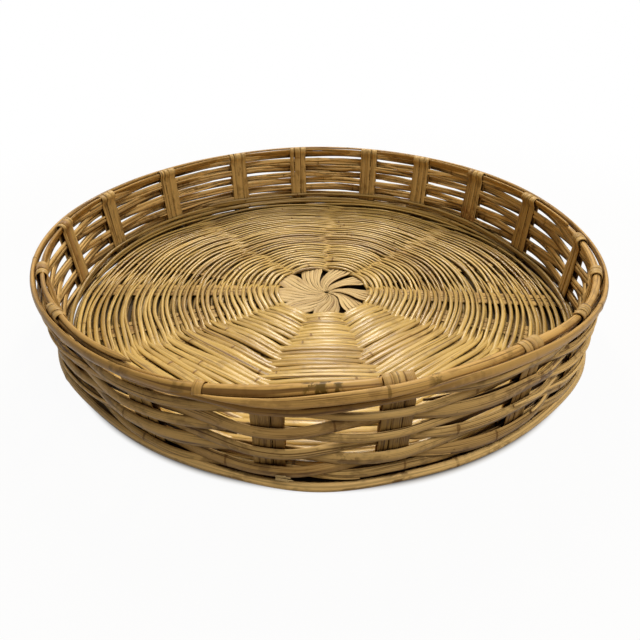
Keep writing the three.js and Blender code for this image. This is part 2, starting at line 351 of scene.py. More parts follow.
# Materials
class Nodes:
    """Short ways to add nodes to a material."""

    def __init__(self, material):
        material.use_nodes = True
        self.tree = material.node_tree
        self.tree.nodes.clear()

    def new(self, kind, **values):
        node = self.tree.nodes.new(kind)
        for key, value in values.items():
            setattr(node, key, value)
        return node

    def feed(self, socket, value):
        if isinstance(value, bpy.types.NodeSocket):
            self.tree.links.new(value, socket)
        else:
            socket.default_value = value

    def fed(self, kind, *given, **values):
        """First output of a new node, with its inputs fed in their order."""
        node = self.new(kind, **values)
        for socket, value in zip(node.inputs, given):
            self.feed(socket, value)
        return node.outputs[0]

    def math(self, operation, *given):
        return self.fed("ShaderNodeMath", *given, operation=operation)

    def combine(self, x, y, z):
        return self.fed("ShaderNodeCombineXYZ", x, y, z)

    def noise(self, vector, detail, roughness=0.5):
        node = self.new("ShaderNodeTexNoise")
        given = {"Vector": vector, "Scale": 1.0, "Detail": detail, "Roughness": roughness}
        for name, value in given.items():
            self.feed(node.inputs[name], value)
        return node.outputs["Fac"]

    def spread(self, value, low, high, to_low=0.0, to_high=1.0):
        """A soft step from to_low, where value is low, to to_high, where it is high."""
        given = (value, low, high, to_low, to_high)
        return self.fed("ShaderNodeMapRange", *given, interpolation_type="SMOOTHSTEP")

    def mix(self, share, a, b, blend="MIX"):
        node = self.new("ShaderNodeMix", data_type="RGBA", blend_type=blend)
        self.feed(node.inputs[0], share)
        self.feed(node.inputs[6], a)
        self.feed(node.inputs[7], b)
        return node.outputs[2]

    def uv(self, name):
        node = self.new("ShaderNodeUVMap", uv_map=name)
        split = self.new("ShaderNodeSeparateXYZ")
        self.feed(split.inputs[0], node.outputs[0])
        return split.outputs[0], split.outputs[1]


def colour(red, green, blue):
    """A colour as seen on a screen, from 0 to 255, turned into light."""
    def light(c):
        c /= 255
        return c / 12.92 if c <= 0.04045 else ((c + 0.055) / 1.055) ** 2.4
    return (light(red), light(green), light(blue), 1.0)


# Tints that multiply a colour: painted shade in the crevices, on strand flanks and under rows, and the
# cane's darkening with age
painted_shade_tint = colour(84, 54, 30)
age_and_shade_tint = (0.47, 0.42, 0.31, 1)

# How near the surfaces round a crevice are, for its painted shade, and how high the relief is, both in
# metres
crevice_reach = 0.006
relief_height = 0.00025
relief_strength = 0.6


def cane(
    name, tints, roughness, sheen, nodes, ring_strength, stains,
    fibre=1.0, painted_flank_shade=0.0, open_at=0.70, streaks=0.7, painted_underside_shade=0.0, mottled=0.3,
):
    """Cane or splint: long fibres, a tone of its own for each strand, drifts, specks and node rings.
    It has painted shade where strands crowd together.

    tints are its pale, middle, dark and stained colours, and nodes is the distance between its
    rings in metres. ring_strength, stains, streaks and mottled say how strongly each shows, and
    fibre how high the relief is. Painted shade starts where the surface is less open than open_at.
    flank paints shade on the two sides of a round cane. under paints shade on the lower side of a
    row, and a painted highlight on the upper one."""
    pale, middle, dark, stain = (colour(*tint) for tint in tints)
    material = bpy.data.materials.new(name)
    n = Nodes(material)
    length, across = n.uv("along")
    tone, share = n.uv("own")
    marked, aged = n.uv("mark")

    def grain(by_length, by_girth, detail, rough=0.5):
        """Noise drawn out along the strand, with so many features a metre each way."""
        at = n.combine(n.math("MULTIPLY", length, by_length), n.math("MULTIPLY", across, by_girth), tone)
        return n.noise(at, detail, rough)

    def change(by_length, by_tone, level, detail):
        """Noise that changes only along the strand."""
        at = n.combine(n.math("MULTIPLY", length, by_length), n.math("MULTIPLY", tone, by_tone), level)
        return n.noise(at, detail)

    fibres = grain(18, 2600, 3.0, 0.6)
    coarse = grain(30, 520, 2.0)
    splits = grain(11, 1150, 1.0)
    specks = grain(260, 620, 2.0, 0.7)
    blotches = grain(210, 330, 3.0, 0.6)
    mottling = grain(95, 170, 3.0, 0.6)
    drift = change(14, 91, 0.0, 2.0)
    slow = change(3.5, 57, 4.0, 1.0)

    # Pale to middle to dark by fibres and drifts
    lift = n.math("MULTIPLY_ADD", fibres, 0.55, n.math("MULTIPLY", drift, 0.55))
    lift = n.math("MULTIPLY_ADD", tone, 0.5, lift)
    lift = n.math("MULTIPLY_ADD", coarse, 0.25, lift)
    base = n.mix(n.spread(lift, 0.45, 0.95), middle, pale)
    streak = n.math("ADD", fibres, n.math("MULTIPLY", coarse, 0.4))
    for pattern, absent, full, strength, tint in (
        (streak, 0.68, 0.46, streaks, dark),
        (splits, 0.40, 0.30, 0.8, dark),
        (mottling, 0.52, 0.68, mottled, dark),
        (slow, 0.52, 0.8, stains, stain),
        (specks, 0.70, 0.78, 0.75, stain),
    ):
        base = n.mix(n.spread(pattern, absent, full, 0.0, strength), base, tint)
    base = n.mix(n.math("MULTIPLY", marked, n.spread(blotches, 0.44, 0.56)), base, stain)

    # Rings where the cane had its leaves, by the distance from each in millimetres
    phase = n.math("FRACT", n.math("MULTIPLY", length, 1 / nodes))
    from_ring = n.math("MULTIPLY", n.math("ABSOLUTE", n.math("SUBTRACT", phase, 0.5)), nodes * 1000)
    wobble = n.math("MULTIPLY", n.math("SUBTRACT", coarse, 0.5), 1.6)
    from_ring = n.math("ADD", from_ring, wobble)
    ring = n.spread(from_ring, 0.9, 0.45, 0.0, ring_strength)
    halo = n.spread(from_ring, 4.5, 0.8, 0.0, 0.5 * ring_strength)
    base = n.mix(halo, base, middle)
    base = n.mix(ring, base, stain)

    # Age and painted shade all over, from each strand's age value, and painted shade in the crevices, where
    # ambient occlusion finds other strands near
    base = n.mix(aged, base, age_and_shade_tint, "MULTIPLY")
    # Painted shade: darker where ambient occlusion finds other surfaces close
    crowd = n.new("ShaderNodeAmbientOcclusion", samples=6)
    n.feed(crowd.inputs["Distance"], crevice_reach)
    crevice_shade = n.spread(crowd.outputs["AO"], open_at, 0.10)
    base = n.mix(crevice_shade, base, painted_shade_tint, "MULTIPLY")
    # Painted shade on the two sides of a round cane, deeper where it is aged
    if painted_flank_shade:
        facing_up = n.math("SINE", n.math("MULTIPLY", share, 2 * math.pi))
        flank_shade_amount = n.math("MULTIPLY_ADD", aged, 0.6 * painted_flank_shade, 0.4 * painted_flank_shade)
        beside = n.math("MULTIPLY", n.spread(facing_up, 0.75, -0.1), flank_shade_amount)
        base = n.mix(beside, base, painted_shade_tint, "MULTIPLY")
    # A painted highlight on the upper side of a row and painted shade on its lower side
    if painted_underside_shade:
        upper = n.math("MULTIPLY", n.spread(share, 0.22, 0.34), n.spread(share, 0.50, 0.42))
        lower = n.math("MAXIMUM", n.spread(share, 0.62, 0.92), n.spread(share, 0.15, 0.02))
        base = n.mix(n.math("MULTIPLY", upper, 0.5), base, pale)
        base = n.mix(n.math("MULTIPLY", lower, painted_underside_shade), base, painted_shade_tint, "MULTIPLY")

    shader = n.new("ShaderNodeBsdfPrincipled")
    n.feed(shader.inputs["Base Color"], base)
    n.feed(shader.inputs["Specular IOR Level"], sheen)
    gloss = n.math("MULTIPLY_ADD", fibres, 0.22, roughness - 0.11)
    gloss = n.math("MULTIPLY_ADD", crevice_shade, 0.3, gloss)
    n.feed(shader.inputs["Roughness"], n.math("ADD", gloss, n.math("MULTIPLY", ring, 0.25)))
    height = n.math("MULTIPLY_ADD", fibres, 0.6 * fibre, n.math("MULTIPLY", coarse, 0.9 * fibre))
    height = n.math("MULTIPLY_ADD", n.spread(splits, 0.42, 0.32), -0.5 * fibre, height)
    height = n.math("MULTIPLY_ADD", ring, -1.2, height)
    bump = n.new("ShaderNodeBump")
    n.feed(bump.inputs["Strength"], relief_strength)
    n.feed(bump.inputs["Distance"], relief_height)
    n.feed(bump.inputs["Height"], height)
    n.feed(shader.inputs["Normal"], bump.outputs[0])
    out = n.new("ShaderNodeOutputMaterial")
    n.feed(out.inputs["Surface"], shader.outputs[0])
    return material


floor_material = cane(
    "floor cane", [(221, 185, 104), (178, 139, 67), (104, 65, 28), (108, 66, 18)],
    roughness=0.32, sheen=0.34, nodes=floor_nodes, ring_strength=0.7, stains=0.35, painted_flank_shade=0.85, open_at=0.64,
)
petal_material = cane(
    "pinwheel splint", [(226, 194, 132), (202, 166, 104), (138, 98, 50), (130, 86, 42)],
    roughness=0.50, sheen=0.3, nodes=petal_nodes, ring_strength=0.2, stains=0.2, fibre=1.5, open_at=0.85,
)
stake_material = cane(
    "stake splint", [(209, 171, 104), (158, 120, 66), (94, 65, 29), (120, 66, 20)],
    roughness=0.44, sheen=0.18, nodes=stake_nodes, ring_strength=0.4, stains=0.6, open_at=0.5,
    streaks=0.85, mottled=0.5,
)
wall_material = cane(
    "wall cane", [(244, 204, 132), (181, 138, 77), (88, 59, 25), (98, 62, 18)],
    roughness=0.44, sheen=0.14, nodes=wall_nodes, ring_strength=0.6, stains=0.65, open_at=0.85,
    streaks=0.95, painted_underside_shade=0.65, mottled=0.45,
)
rim_material = cane(
    "rim cane", [(213, 169, 96), (169, 125, 63), (104, 69, 28), (102, 76, 18)],
    roughness=0.40, sheen=0.17, nodes=rim_nodes, ring_strength=0.6, stains=0.6, streaks=0.85, mottled=0.35,
)


# Floor: one spiral of thin cane after another, over one spoke and under the next
def floor_wander(turns, angle):
    """Sideways wander of the strands, so that they gather in groups."""
    rows, columns = 60, 30
    turns_in_row = 1.9
    knots = np.random.default_rng(31).uniform(-1, 1, (rows, columns))
    row = turns / turns_in_row
    low = np.floor(row).astype(int)
    part = smooth(row - low)
    column = (angle / 360 * columns) % columns
    left = np.floor(column).astype(int)
    side = smooth(column - left)
    right = (left + 1) % columns
    lower = knots[low, left] * (1 - side) + knots[low, right] * side
    upper = knots[low + 1, left] * (1 - side) + knots[low + 1, right] * side
    return lower * (1 - part) + upper * part


samples_per_wedge = 16
edges = np.append(valleys, valleys[0] + 360)
wedge_total = floor_turns * spoke_count

# The lines where the strands cross wander by a few degrees from turn to turn
valley_wander = 3.2
shifts = np.stack([
    valley_wander * wander(np.arange(floor_turns + 2.0), key=40 + valley, step=1.3)
    for valley in range(spoke_count)
], -1).ravel()
wedge = np.repeat(np.arange(wedge_total), samples_per_wedge)
part = np.tile(np.arange(samples_per_wedge) / samples_per_wedge, wedge_total)
within = wedge % spoke_count
enter = edges[within] + shifts[wedge]
leave = edges[within + 1] + shifts[wedge + 1]
floor_angle = enter + (leave - enter) * part + 360 * (wedge // spoke_count)
turns_done = np.clip((floor_angle - valleys[0]) / 360, 0, floor_turns)

# A strand's way over or under a spoke, from 0 in a valley to 1 at the spoke's middle
arch = np.sin(np.pi * part) ** (0.75 + 0.35 * turns_done / floor_turns)
above = np.where(wedge % 2 == 0, 1, -1)

# The weave is loose at the two sides and tight in front
to_front = -np.sin(rad(floor_angle))
sideways = np.abs(np.cos(rad(floor_angle)))
front = smooth((to_front - 0.2) / 0.6)
back = smooth((-to_front - 0.1) / 0.6)
loose = (0.35 + 0.75 * sideways * smooth(turns_done / 25)) * (1 - 0.45 * front)
begun = smooth((turns_done - 0.4) / 2)
spiral_radius = first_turn_radius + (last_turn_radius - first_turn_radius) * turns_done / floor_turns
spiral_radius += 0.5 * (1 - 0.6 * front) * floor_wander(turns_done, floor_angle)
spiral_radius += loose * wander(floor_angle, key=36, step=31) * begun
spiral_radius += 0.35 * sideways * wander(floor_angle, key=37, step=12) * begun

# In front the strands run straight from one valley to the next, but less so near the wall
half_wedge = (leave - enter) / 2
bow = np.cos(rad(half_wedge)) / np.cos(rad((part - 0.5) * 2 * half_wedge))
chord = bow / (0.66 + 0.34 * np.cos(rad(half_wedge)))
straight = 0.8 * smooth((to_front - 0.25) / 0.55)
straight *= 1 - 0.75 * smooth((spiral_radius - 110) / 50)
spiral_radius *= 1 + straight * (chord - 1)

# The strands lift less in the first and last turns, and the last turns climb the wall
settled = smooth((turns_done - 0.5) / 4) * smooth((floor_turns - turns_done) / 3)
floor_height = floor_level + above * arch * (1.7 + 0.7 * settled)
floor_height += 0.3 * wander(floor_angle, key=32, step=9) * arch
floor_height += (3.2 + 1.6 * back) * smooth((turns_done - 66.5) / 4.5)

# The strands are wider in front and near the pinwheel, and pinched in the valleys
floor_half_width = 1.25
floor_half_thick = 0.9
near_pinwheel = (1 - smooth((turns_done - 3) / 12)) * (1 - front)
floor_width = floor_half_width + 1.0 * front + 0.4 * near_pinwheel
floor_width *= 1 - (0.28 - 0.18 * front) * (1 - arch)
floor_width *= 1 + (0.22 - 0.14 * front) * wander(floor_angle, key=33, step=37)
floor_thick = floor_half_thick * (1 + 0.2 * (1 - arch))
floor_thick *= 1 + 0.12 * wander(floor_angle, key=34, step=31)

# The sides and the outer turns are darker, a painted shade with some age, and the front only a little; one
# turn has a stain in front on the right
outer_turns = smooth((turns_done - 50) / 14)
floor_age = (0.1 + 0.45 * sideways) * smooth((turns_done - 12) / 25) + 0.08 * outer_turns
floor_age = 0.5 * floor_age * (1 - front) + 0.06 * front
floor_age = np.clip(floor_age + 0.22 * wander(floor_angle, key=38, step=45), 0, 1)
stain_middle = 34 * 360 + 300
stain_reach = 13
floor_mark = smooth((stain_reach - np.abs(floor_angle - stain_middle)) / 3)

floor_path = place(floor_angle, spiral_radius, floor_height)
floor_path[:, 0] += ring_shift * (1 - smooth((spiral_radius - first_turn_radius) / ring_shift_reach))
inward = -np.stack([np.cos(rad(floor_angle)), np.sin(rad(floor_angle)), np.zeros_like(floor_angle)], -1)
tones = np.random.default_rng(35).uniform(0, 1, canes_in_floor)

# One cane ends and the next one starts below a spoke
cane_cuts = np.linspace(0, wedge_total, canes_in_floor + 1).round().astype(int) // 2 * 2 + 1
cane_cuts[0] = 0
for i in range(canes_in_floor):
    begin = cane_cuts[i] * samples_per_wedge + (samples_per_wedge // 2 if i else 0)
    end = min(len(floor_angle), cane_cuts[i + 1] * samples_per_wedge + samples_per_wedge // 2)
    cut = slice(begin, end)
    bundle = Bundle()
    bundle.strand(
        floor_path[cut], inward[cut], floor_width[cut], floor_thick[cut], oval(10, 0.85), tones[i],
        floor_nodes, mark=floor_mark[cut], age=floor_age[cut],
    )
    bundle.piece(f"floor_cane_{i + 1:02d}", floor_material, "floor_cane", [f"floor_strand_{i + 1:02d}"])


# Stakes: three thin splints each, from the pinwheel over the rim cane and down the wall
splints_in_stake = 3
stake_start = 36
stake_half_width = 7.5
splint_half_thick = 0.42
splint_gap = 0.12

# Points along the stretches of a stake
floor_points = 28
bend_points = 6
wall_points = 14
fold_points = 16
tail_points = 12


def stake_edges(stake, radius):
    """How far a stake reaches to its two sides in the floor, in millimetres. It has a valley on one
    side and its partner in the spoke on the other."""
    before = (stake_angles[stake] - stake_angles[stake - 1]) % 360 / 2
    after = (stake_angles[(stake + 1) % stake_count] - stake_angles[stake]) % 360 / 2
    valley, partner = 2.6, 0.15
    margins = (valley, partner) if stake % 2 == 0 else (partner, valley)
    return (
        np.minimum(stake_half_width, radius * np.sin(rad(half_gap)) - margin)
        for half_gap, margin in zip((before, after), margins)
    )


def arc(centre_radius, centre_height, radius, start, stop, points):
    turn = rad(np.linspace(start, stop, points))
    return np.stack([centre_radius + radius * np.cos(turn), centre_height + radius * np.sin(turn)], -1)


def stake_profile(tail_end, bend_radius):
    """Radius and height along a stake from the floor to its top, over the rim, and down its tail."""
    wall_foot = stake_foot_radius - stake_bend
    floor = np.linspace((stake_start, floor_level), (wall_foot, floor_level), floor_points)
    bend = arc(wall_foot, bend_top, stake_bend, -80, 0, bend_points)
    heights = np.linspace(bend_top + 2, inner_rim_level - 2, wall_points)
    wall = np.stack([stake_radius(heights), heights], -1)
    fold_level = inner_rim_level + full_fold - bend_radius
    fold = arc(stake_rim_radius - bend_radius, fold_level, bend_radius, 0, 180 + tail_lean, fold_points)

    # The tail leaves the fold leaning inwards, and then runs down beside the wall
    slope = (stake_rim_radius - stake_foot_radius) / (inner_rim_level - bend_top)
    lean = rad(tail_lean)
    radius, height = fold[-1]
    reach = (stake_radius(height) - tail_offset - radius) / (np.sin(lean) + slope * np.cos(lean))
    heights = np.linspace(height - reach * np.cos(lean), tail_end, tail_points)
    tail = np.stack([stake_radius(heights) - tail_offset, heights], -1)
    return np.concatenate([floor, bend, wall]), fold, tail


def across_at(angle):
    """Sideways direction at an angle, along the wall."""
    turn = rad(angle)
    return np.stack([-np.sin(turn), np.cos(turn), np.zeros_like(turn)], -1)


# Stakes are counted from 0 here. The two that are cut off end under the outer rim cane, and their
# tails start below the inner one.
cut_off = {11, 12}
paler = {1: 0.5, 0: 0.15, 2: 0.1}
# How much darker some stakes in front are outside the wall
aged_outside = {11: 0.35, 12: 0.5, 13: 0.7, 14: 0.3}
stained_stake = 1

# How much narrower some stakes are where they fold
narrow = {14: 0.85, 15: 0.78, 16: 0.72, 17: 0.75}

for stake in range(stake_count):
    draw = np.random.default_rng(100 + stake)
    angle = stake_angles[stake]
    shares = draw.uniform(0.7, 1.3, splints_in_stake)
    shares /= shares.sum()
    bundle = Bundle()
    for m in range(splints_in_stake):
        centre_share = shares[:m].sum() + shares[m] / 2
        body, fold, tail = stake_profile(draw.uniform(8, 11), fold_radius(angle))
        if stake in cut_off:
            top = draw.uniform(47.5, 49)
            tail[:, 1] += (draw.uniform(44, 49) - tail[0, 1]) * np.linspace(1, 0, len(tail))
            runs = [np.concatenate([body, [[stake_radius(top), top]]]), tail]
        else:
            runs = [np.concatenate([body, fold, tail])]
        tone = draw.uniform(0.2, 0.8) + paler.get(stake, 0)
        for k, profile in enumerate(runs):
            key = stake * 6 + m * 2 + k
            point = np.arange(len(profile))
            run = point / len(profile)
            before, after = stake_edges(stake, profile[:, 0])
            slim = 1 - (1 - narrow.get(stake, 1)) * smooth((profile[:, 1] - 30) / 20)
            offset = slim * (-before + centre_share * (before + after))
            offset += 0.35 * wander(run, 200 + key, 0.12)
            width = slim * (shares[m] * (before + after) / 2 - splint_gap)

            # Each splint lies a little higher or lower than the next
            rise = 0.168 * (m % 2) + 0.12 * wander(run, 400 + key, 0.1)
            slopes = np.gradient(profile, axis=0)
            slopes /= np.linalg.norm(slopes, axis=1, keepdims=True)
            outward = np.stack([slopes[:, 1], -slopes[:, 0]], -1)
            lifted = profile + outward * rise[:, None]
            along = np.full(len(profile), angle)
            side = across_at(along)
            path = place(along, lifted[:, 0], lifted[:, 1]) + side * offset[:, None]
            up_the_wall = point - floor_points - bend_points
            outside = (up_the_wall >= 0) & (up_the_wall < wall_points)
            bundle.strand(
                path, side, width, splint_half_thick, splint(), tone, stake_nodes,
                mark=0.7 * smooth((run - 0.9) / 0.04) * (stake == stained_stake),
                age=aged_outside.get(stake, 0) * outside,
            )
    number = f"{stake + 1:02d}"
    bundle.piece(f"stake_splints_{number}", stake_material, "stake_splint", [f"stake_{number}"])

# Pinwheel: the splints of each spoke swirl to the centre, each petal tucked under the next
pinwheel_centre = np.array([7.0, -4.0])
petal_splints = 5
petal_spacing = 3.3
petal_half_width = 1.64
petal_half_thick = 0.35
petal_run = np.linspace(1.5, 38, 26)
swirl_turn = 50
swirl_reach = 32
petal_slope = 0.2
aged_petal = 6
for spoke in range(spoke_count):
    draw = np.random.default_rng(500 + spoke)
    swirl = np.clip(1 - petal_run / swirl_reach, 0, None)
    angle = (stake_angles[2 * spoke] + stake_angles[2 * spoke + 1]) / 2 + swirl_turn * swirl ** 1.5
    middle = np.stack([petal_run * np.cos(rad(angle)), petal_run * np.sin(rad(angle))], -1)
    middle += pinwheel_centre * smooth(swirl)[:, None]
    middle[:, 0] += ring_shift * (1 - smooth(swirl))
    heading = np.gradient(middle, axis=0)
    heading /= np.linalg.norm(heading, axis=1, keepdims=True)
    aside = np.stack([-heading[:, 1], heading[:, 0]], -1)
    spread = 0.2 + 0.8 * smooth((petal_run + 1) / swirl_reach)
    petal_age = 0.35 if spoke == aged_petal else draw.uniform(0, 0.12)
    bundle = Bundle()
    for m in range(petal_splints):
        key = spoke * 9 + m
        offset = (m - (petal_splints - 1) / 2) * petal_spacing * spread
        offset += 0.2 * wander(petal_run, 600 + key, 6)
        height = floor_level + 0.35 - petal_slope * offset * smooth((36 - petal_run) / 14)
        height += 0.12 * wander(petal_run, 700 + key, 8) + 0.5 * smooth((14 - petal_run) / 12)
        path = np.column_stack([middle + aside * offset[:, None], height])
        side = np.column_stack([aside, np.full(len(petal_run), -petal_slope)])
        bundle.strand(
            path, side, petal_half_width * spread, petal_half_thick, splint(), draw.uniform(0, 1),
            petal_nodes, age=petal_age,
        )
    bundle.piece(
        f"pinwheel_petal_{spoke + 1}", petal_material, "stake_splint",
        [f"stake_{2 * spoke + 1:02d}", f"stake_{2 * spoke + 2:02d}"],
    )

# Wall rows: each passes outside one stake and inside the next. After one stake in front they cross
# over sooner.
wall_radius = 174
stake_clearance = 6.5
early_crossing = 281.6


def weaving_offset(angle, parity):
    """Signed place of a row against the wall's middle: 1 outside a stake, -1 inside."""
    stops = np.concatenate([stake_angles[-1:] - 360, stake_angles, stake_angles[:1] + 360])
    signs = np.array([1 if (i + parity) % 2 else -1 for i in range(-1, stake_count + 1)])
    i = np.clip(np.searchsorted(stops, angle, side="right") - 1, 0, len(stops) - 2)
    share = (angle - stops[i]) / (stops[i + 1] - stops[i])
    share = np.where(stops[i] == early_crossing, share ** 0.6, share)
    flat = stake_clearance / (wall_radius * rad(stops[i + 1] - stops[i]))
    share = smooth((share - flat) / (1 - 2 * flat))
    return signs[i] * (1 - share) + signs[i + 1] * share


def stained(angle, marks):
    """How stained a strand is along its way. marks holds angles, half-spans and strengths."""
    amount = np.zeros(len(angle))
    for middle, span, strength in marks:
        faded = smooth((degrees_from(angle, middle) - 0.6 * span) / (0.5 * span))
        amount = np.maximum(amount, strength * (1 - faded))
    return amount


def row_height(level, towards_back):
    """Height of a row. At the back the rows reach up to the rim."""
    reach = 1 + 0.09 * smooth((towards_back + 0.3) / 0.8)
    return rows_bottom + (level - rows_bottom) * reach


def row_lean(towards_back):
    """How far a row lies lower where it passes outside a stake."""
    return 0.8 * np.clip(towards_back, 0, 1) + 0.3 * np.clip(-towards_back, 0, 1)


# Where each row's cane starts and ends in a slanting joint, and where it has a ring
row_starts = [266, 281, 40, 270, 130, 305, 200, 90]
row_rings = [240, 300, 316, 246, 299, 272.6, 294.4, 252]
row_count = len(row_starts)
row_pitch = (rows_top - rows_bottom) / row_count
row_reach = row_offset + 0.1
row_half_height = 2.8
row_half_thick = 1.08
joint_span = 11
joint_lift = 2.0

# How far each row lies above its even place, at three stakes in front and all along the front, and
# how high it is there against its usual height
front_lifts = {
    262.8: [0.2, -2.6, 0.8, -2.6, 0.8, -2.5, 0.5, 0.9],
    281.6: [2.2, 0.4, -0.8, 1.1, 0.2, 0.6, 0.1, 0.9],
    305: [-1.2, -1.8, 0, 0.6, 0, 0.9, 0, 2.2],
}
front_lift_span = 11
front_sag = [-2.6, -2.6, -2.4, -2.2, -1.4, -0.8, -0.2, 0.6]
front_sizes = [1.0, 1.15, 1.2, 1.05, 1.0, 1.3, 0.95, 0.8]

# Where all rows are fuller, and where the two lowest come down to the foot: angle, half-span and
# how much
fuller = [(249, 12, 0.2), (295, 12, 0.2), (18, 42, 0.16), (158, 36, 0.1)]
lowered = [(251, 15, 3.0), (296, 13, 2.0)]
lowest_rows = 2

# Short strands inside the stakes close the gaps in front. They reach further in the lower rows.
closer_drop = 5.4
closer_inset = 2.4
lower_rows = 5

for row in range(row_count):
    draw = np.random.default_rng(800 + row)
    angle = row_starts[row] + np.arange(0, 360 + joint_span, 0.5)
    starting = smooth((angle - angle[0]) / joint_span)
    ending = smooth((angle[-1] - angle) / joint_span)
    level = rows_bottom + row_pitch * (row + 0.5)
    weave = weaving_offset(angle % 360, row)
    towards_back = np.sin(rad(angle))
    height = row_height(level, towards_back) - row_lean(towards_back) * weave
    height += joint_lift * (1 - starting) - joint_lift * (1 - ending)
    height += (0.75 + 0.2 * towards_back) * wander_round(angle, 810 + row, 26)
    height += front_sag[row] * smooth((-towards_back - 0.2) / 0.4)
    for stake_angle, lifts in front_lifts.items():
        height += lifts[row] * close_to(angle, stake_angle, front_lift_span)
    if row < lowest_rows:
        for middle, span, drop in lowered:
            height -= drop * close_to(angle, middle, span)
    radius = stake_radius(level) + row_reach * weave + 0.3 * wander_round(angle, 820 + row, 20)
    half_height = row_half_height + 0.2 * smooth(towards_back) + 0.4 * wander_round(angle, 830 + row, 22)
    half_height *= (0.2 + 0.8 * starting) * (0.2 + 0.8 * ending)
    half_height *= 1 + (front_sizes[row] - 1) * smooth((-towards_back - 0.5) / 0.4)
    for middle, span, share in fuller:
        half_height *= 1 + share * close_to(angle, middle, span)
    marks = [(draw.uniform(0, 360), draw.uniform(1.5, 6), draw.uniform(0.3, 0.8)) for _ in range(12)]
    bundle = Bundle()
    # In front the rows are darker, a painted shade, and stains mark them here and there
    bundle.on_edge(
        angle, radius, height, half_height, row_half_thick, split_cane(row), draw.uniform(0, 1),
        wall_nodes, mark=stained(angle, marks),
        age=0.4 * smooth((-towards_back - 0.1) / 0.4),
        node_at=int(np.argmin(degrees_from(angle, row_rings[row]))),
    )

    # Thin strands on its two faces, and the two short ones: face, start, span and whether short
    lower = row < lower_rows
    runs = [
        (1, draw.uniform(295, 310), draw.uniform(250, 290), False),
        (-1, draw.uniform(20, 50), draw.uniform(100, 130), False),
        (-1, draw.uniform(200, 208), draw.uniform(42, 46) + 9 * lower, True),
        (-1, draw.uniform(282, 290) - 7 * lower, draw.uniform(44, 54) + 7 * lower, True),
    ]
    for face, begin, span, short in runs:
        angle = begin + np.arange(0, span, 0.75)
        weave = weaving_offset(angle % 360, row)
        towards_back = np.sin(rad(angle))
        height = row_height(level, towards_back) - row_lean(towards_back) * weave
        height += 2.2 * wander(angle, 880 + row * 2 + face, 9)
        radius = stake_radius(level) + row_reach * weave + face * 1.1
        if short:
            height -= closer_drop + 1.3 * weave
            radius = stake_radius(level) - closer_inset
        ends = smooth((angle - angle[0]) / 5) * smooth((angle[-1] - angle) / 5)
        half_height = (1.7 if short else 1.15) * (0.3 + 0.7 * ends)
        bundle.on_edge(
            angle, radius, height, half_height, 0.6, half_round(), draw.uniform(0, 1), wall_nodes,
            face=face, age=0.75 if short else 0.0,
        )
    bundle.piece(f"wall_cane_{row + 1}", wall_material, "wall_cane", [f"wall_row_{row + 1:02d}"])

# Frayed end of a row in front: thin fibres that spread from one place
frayed_from = 263.9
frayed_radius = 176.6
frayed_level = 8.6
bundle = Bundle()
draw = np.random.default_rng(890)
run = np.linspace(0, 1, 5)
for m in range(6):
    angle = frayed_from + (draw.uniform(265.3, 266.9) - frayed_from) * run
    height = frayed_level + 0.5 * m + draw.uniform(-0.9, 0.9) * run
    bundle.on_edge(angle, frayed_radius + 0.25 * run, height, 0.22, 0.2, oval(6), 1.0, 9.0)
bundle.piece("frayed_end", petal_material, "wall_cane", ["wall_row_01"])

# Corner strands in front of the tails' feet: where each starts and ends, its radius, its height, how
# far it strays and how much darker it is. The higher ones come down at the sides and in front, by these
# shares.
corner_runs = [
    (-70, 128, 166.0, 18.4, 0.9, 0.1), (112, 300, 166.2, 17.8, 0.9, 0.1), (-25, 60, 167.0, 15.6, 1.2, 0.1),
    (98, 124, 166.6, 15.6, 0.6, 0.1), (165, 262, 166.8, 15.2, 1.3, 0.1), (0, 360, 169.6, 9.4, 0.4, 0.1),
    (18, 152, 166.0, 13.4, 0.9, 0.0), (40, 176, 165.4, 12.4, 0.8, 0.0),
]
corner_drop = 4.5
corner_shares = np.array([
    (0, 1.4), (15, 1.3), (50, 0), (165, 0), (185, 1), (280, 1), (300, 1.4), (360, 1.4),
])
higher_ones = 10
bundle = Bundle()
for m, (begin, end, radius, level, stray, age) in enumerate(corner_runs):
    angle = np.arange(begin, end, 0.6)
    radius = radius + 0.5 * wander_round(angle, 845 + m, 20)
    height = level + stray * wander_round(angle, 840 + m, 17)
    if level > higher_ones:
        height -= corner_drop * np.interp(angle % 360, corner_shares[:, 0], corner_shares[:, 1])
    whole = end - begin == 360
    ends = 1 if whole else 0.4 + 0.6 * smooth((angle - begin) / 3) * smooth((end - angle) / 3)
    bundle.on_edge(
        angle, radius, height, 1.3 * ends, 1.1 * ends, oval(10), 0.4 + 0.09 * m, floor_nodes,
        closed=whole, age=age,
    )
bundle.piece("corner_cane", floor_material, "floor_cane", ["corner_strand"])


# Rim
def rim_cane(table, key):
    """Angles along a cane of the rim, its radius and height at each, and its half sizes."""
    angle = np.arange(table[0, 0], table[-1, 0], 0.5)
    lines = np.stack([np.interp(angle, table[:, 0], table[:, column]) for column in (1, 2, 3, 4)])

    # An average over a few points rounds the table's corners
    reach = 3
    blend = np.ones(2 * reach + 1) / (2 * reach + 1)
    lines = np.pad(lines, ((0, 0), (reach, reach)), mode="edge")
    radius, height, half_height, half_thick = (np.convolve(line, blend, mode="valid") for line in lines)
    radius = radius + 0.15 * wander(angle, key, 23)
    height += 0.2 * wander(angle, key + 1, 17)
    thick = 1 + 0.05 * wander(angle, key + 2, 21)
    return angle, radius, height, half_height * thick, half_thick * thick


